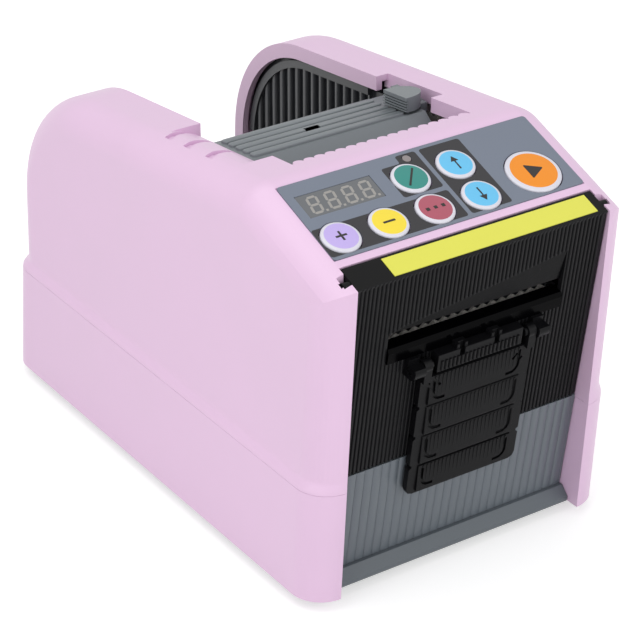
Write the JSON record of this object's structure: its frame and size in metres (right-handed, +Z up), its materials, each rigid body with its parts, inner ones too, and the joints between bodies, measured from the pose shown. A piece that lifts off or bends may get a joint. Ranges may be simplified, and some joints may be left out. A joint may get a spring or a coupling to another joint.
{
  "type": "electric tape dispenser",
  "caption": "Desktop electric tape dispenser with an open tape bay, sloping keypad, hinged ribbed front cover, cutter and fold-down tape tray.",
  "frame": {"origin": "on the floor under the middle of the housing", "axes": "+X to the right, +Y to the rear, +Z up"},
  "size_m": [0.125, 0.2183, 0.1426],
  "materials": {
    "pink": "satin moulded ABS",
    "grey_light": "moulded ABS",
    "grey_panel": "moulded ABS with fine grooves",
    "grey_base": "moulded ABS",
    "black_front": "moulded ABS with fine ribs",
    "black_gloss": "polished ABS",
    "hood_grey": "smooth ABS",
    "yellow_film": "bare printed film",
    "overlay_film": "printed polyester film",
    "key_lavender": "moulded key",
    "key_yellow": "moulded key",
    "key_red": "moulded key",
    "key_green": "moulded key",
    "key_blue": "moulded key",
    "key_orange": "moulded key",
    "lens": "smoked clear window",
    "display": "potted display",
    "led": "unlit indicator lamp",
    "board": "glass epoxy board",
    "steel_pin": "ground steel",
    "rubber_dark": "moulded rubber",
    "rubber_red": "silicone rubber",
    "liner": "moulded ABS",
    "reel": "moulded nylon",
    "steel_frame": "zinc-plated sheet",
    "zinc": "zinc-plated steel",
    "bronze": "sintered bronze",
    "roller_core": "moulded acetal",
    "gear_white": "moulded acetal",
    "brass_gear": "machined brass",
    "motor_can": "drawn steel can",
    "dark_metal": "die-cast zinc",
    "blade_steel": "ground tool steel",
    "black_abs": "moulded ABS"
  },
  "bodies": {
    "housing": {"upper_housing": "pink", "lower_housing": "pink", "base_tray": "grey_base", "front_lower_panel": "grey_panel", "keypad_overlay": "overlay_film", "display_lens": "lens", "display_module": "display", "indicator_led": "led", "control_board": "board", "top_cover_pin": "steel_pin", "left_liner": "liner", "right_liner": "liner", "bay_tub": "liner", "reel_axle": "steel_pin", "left_frame": "steel_frame", "right_frame": "steel_frame", "tie_rods": "zinc", "screws": "zinc", "bearings": "bronze", "feed_motor": "motor_can", "lower_guide": "steel_frame", "upper_guide": "steel_frame", "blade_bar": "dark_metal", "fixed_blade": "blade_steel", "blade_screws": "zinc", "guide_rods": "steel_pin", "cutter_plate": "steel_frame", "cutter_motor": "motor_can", "main_board": "board", "board_posts": "bronze", "feet": "rubber_dark", "power_socket": "black_abs", "switch_bezel": "black_abs"},
    "cover": {"front_cover": "black_front", "label_strip": "yellow_film", "outlet_hood": "hood_grey", "outlet_lip": "black_gloss"},
    "tray": {"tape_tray": "black_front"},
    "lid": {"top_cover": "grey_light", "latch_pin": "steel_pin"},
    "press": {"press_roller": "rubber_dark"},
    "latch": {"thumb_latch": "grey_light"},
    "reel": {"reel_core": "reel", "reel_discs": "reel"},
    "feed": {"feed_shaft": "steel_pin", "feed_roller": "roller_core", "roller_rings": "rubber_red", "feed_gear": "gear_white"},
    "pinion": {"motor_pinion": "brass_gear"},
    "crank": {"cutter_crank": "bronze"},
    "blade": {"moving_blade": "blade_steel", "blade_carrier": "dark_metal"},
    "rocker": {"switch_rocker": "black_abs"},
    "plus_key": {"key_plus": "key_lavender"},
    "minus_key": {"key_minus": "key_yellow"},
    "select_key": {"key_select": "key_red"},
    "mode_key": {"key_mode": "key_green"},
    "up_key": {"key_up": "key_blue"},
    "down_key": {"key_down": "key_blue"},
    "start_key": {"key_start": "key_orange"}
  },
  "joints": [
    {"name": "cover_hinge", "type": "hinge", "parent": "housing", "child": "cover", "pos_m": [0, -0.10365, 0.1245], "axis": [-1, 0, 0], "range_deg": [0, 95]},
    {"name": "tray_hinge", "type": "hinge", "parent": "cover", "child": "tray", "pos_m": [0, -0.10554, 0.0876], "axis": [-1, 0, 0], "range_deg": [0, 80]},
    {"name": "lid_hinge", "type": "hinge", "parent": "housing", "child": "lid", "pos_m": [0, -0.03825, 0.12691], "axis": [1, 0, 0], "range_deg": [0, 70]},
    {"name": "press_spin", "type": "hinge", "parent": "lid", "child": "press", "pos_m": [0, -0.01325, 0.12447], "axis": [1, 0, 0], "continuous": true},
    {"name": "latch_pivot", "type": "hinge", "parent": "lid", "child": "latch", "pos_m": [0.0387, -0.00925, 0.1236], "axis": [0, 1, 0], "range_deg": [0, 7], "stiffness_Nm_per_rad": 0.3, "springref_deg": -2.86},
    {"name": "reel_spin", "type": "hinge", "parent": "housing", "child": "reel", "pos_m": [0, 0.04768, 0.0705], "axis": [1, 0, 0], "continuous": true},
    {"name": "feed_spin", "type": "hinge", "parent": "housing", "child": "feed", "pos_m": [0, -0.01325, 0.10897], "axis": [1, 0, 0], "continuous": true},
    {"name": "pinion_spin", "type": "hinge", "parent": "housing", "child": "pinion", "pos_m": [0, -0.03291, 0.09521], "axis": [1, 0, 0], "continuous": true},
    {"name": "crank_turn", "type": "hinge", "parent": "housing", "child": "crank", "pos_m": [0, -0.08925, 0.0705], "axis": [0, 1, 0], "range_deg": [0, 180]},
    {"name": "blade_slide", "type": "slide", "parent": "housing", "child": "blade", "axis": [0, 0, 1], "range_m": [0, 0.006]},
    {"name": "rocker_tilt", "type": "hinge", "parent": "housing", "child": "rocker", "pos_m": [-0.02603, 0.1048, 0.02121], "axis": [1, 0, 0], "range_deg": [-12, 0]},
    {"name": "plus_press", "type": "slide", "parent": "housing", "child": "plus_key", "axis": [0, 0.3322, -0.9432], "range_m": [0, 0.0008], "stiffness_N_per_m": 400, "springref_m": -0.0003},
    {"name": "minus_press", "type": "slide", "parent": "housing", "child": "minus_key", "axis": [0, 0.3322, -0.9432], "range_m": [0, 0.0008], "stiffness_N_per_m": 400, "springref_m": -0.0003},
    {"name": "select_press", "type": "slide", "parent": "housing", "child": "select_key", "axis": [0, 0.3322, -0.9432], "range_m": [0, 0.0008], "stiffness_N_per_m": 400, "springref_m": -0.0003},
    {"name": "mode_press", "type": "slide", "parent": "housing", "child": "mode_key", "axis": [0, 0.3322, -0.9432], "range_m": [0, 0.0008], "stiffness_N_per_m": 400, "springref_m": -0.0003},
    {"name": "up_press", "type": "slide", "parent": "housing", "child": "up_key", "axis": [0, 0.3322, -0.9432], "range_m": [0, 0.0008], "stiffness_N_per_m": 400, "springref_m": -0.0003},
    {"name": "down_press", "type": "slide", "parent": "housing", "child": "down_key", "axis": [0, 0.3322, -0.9432], "range_m": [0, 0.0008], "stiffness_N_per_m": 400, "springref_m": -0.0003},
    {"name": "start_press", "type": "slide", "parent": "housing", "child": "start_key", "axis": [0, 0.3322, -0.9432], "range_m": [0, 0.0008], "stiffness_N_per_m": 400, "springref_m": -0.0003}
  ],
  "couplings": [
    {"joint": "pinion_spin", "follows": "feed_spin", "ratio": -3},
    {"joint": "press_spin", "follows": "feed_spin", "ratio": -2.04},
    {"joint": "crank_turn", "follows": "blade_slide", "rad_per_m": 523.59}
  ]
}
